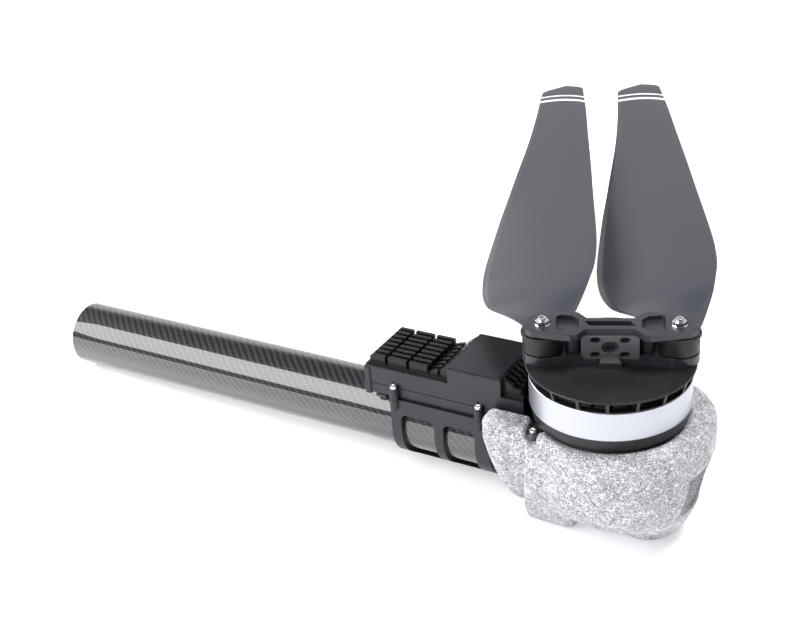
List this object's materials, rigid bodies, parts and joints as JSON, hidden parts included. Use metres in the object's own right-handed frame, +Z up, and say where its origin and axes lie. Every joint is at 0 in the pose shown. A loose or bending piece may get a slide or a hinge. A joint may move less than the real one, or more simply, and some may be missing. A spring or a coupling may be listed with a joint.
{
  "type": "folding propulsion arm of a multirotor drone",
  "caption": "Carbon tube arm of a multirotor drone with finned speed controller, outrunner motor in a foam cradle and folding two-blade propeller.",
  "frame": {"origin": "centre of the carbon tube's open root end", "axes": "+X along the tube towards the motor, +Z up, parallel to the motor's axis"},
  "size_m": [0.529, 0.5147, 0.1517],
  "materials": {
    "carbon": "glossy carbon weave",
    "mount_metal": "dark anodised",
    "fasteners": "bright",
    "foam": "speckled moulded bead foam",
    "motor_black": "matte black",
    "silver_band": "satin silver",
    "laminations": "stacked sheets",
    "copper": "enamelled copper wire",
    "steel": "ground",
    "magnet": "nickel plated",
    "hub_metal": "dark anodised",
    "stop_rubber": "matte",
    "slip_plastic": "low friction",
    "bronze": "sintered",
    "blade": "matte moulded composite with two pale tip stripes",
    "esc_black": "bead blasted black anodised",
    "fin_black": "black anodised",
    "board": "solder mask",
    "component": "moulded",
    "pad": "soft silicone",
    "can": "sleeved",
    "lead": "silicone insulation",
    "socket": "moulded"
  },
  "bodies": {
    "arm": {"arm_tube": "carbon", "motor_mount": "mount_metal", "mount_clamp": "mount_metal", "mount_screws": "fasteners", "foam_cradle": "foam", "cradle_screws": "fasteners", "motor_base": "motor_black", "motor_screws": "fasteners", "stator_core": "laminations", "stator_windings": "copper", "lower_bearing": "steel", "upper_bearing": "steel", "esc_housing": "esc_black", "heat_sink": "fin_black", "esc_cover": "esc_black", "rear_fins": "fin_black", "circuit_board": "board", "power_transistors": "component", "thermal_pad": "pad", "capacitors": "can", "phase_leads": "lead", "signal_socket": "socket", "clamp_saddle": "esc_black", "saddle_screws": "fasteners"},
    "rotor": {"motor_shaft": "steel", "shaft_circlip": "steel", "rotor_magnets": "magnet", "flux_ring": "steel", "bell_band": "silver_band", "rotor_cover": "motor_black", "hub_base_plate": "hub_metal", "hub_screws": "fasteners", "hub_block": "hub_metal", "hub_posts": "hub_metal", "blade_stop": "stop_rubber", "hub_top_plate": "hub_metal", "pivot_bolts": "fasteners", "pivot_nuts": "fasteners", "pivot_washers": "slip_plastic"},
    "blade_l": {"left_bushing": "bronze", "left_blade": "blade"},
    "blade_r": {"right_bushing": "bronze", "right_blade": "blade"}
  },
  "joints": [
    {"name": "rotor_spin", "type": "hinge", "parent": "arm", "child": "rotor", "pos_m": [0.4602, 0, 0.06], "axis": [0, 0, 1], "continuous": true},
    {"name": "left_blade_fold", "type": "hinge", "parent": "rotor", "child": "blade_l", "pos_m": [0.42022, -0.01583, 0.0925], "axis": [0, 0, 1], "range_deg": [0, 90]},
    {"name": "right_blade_fold", "type": "hinge", "parent": "rotor", "child": "blade_r", "pos_m": [0.50018, 0.01583, 0.0925], "axis": [0, 0, 1], "range_deg": [-91.8, 0]}
  ]
}
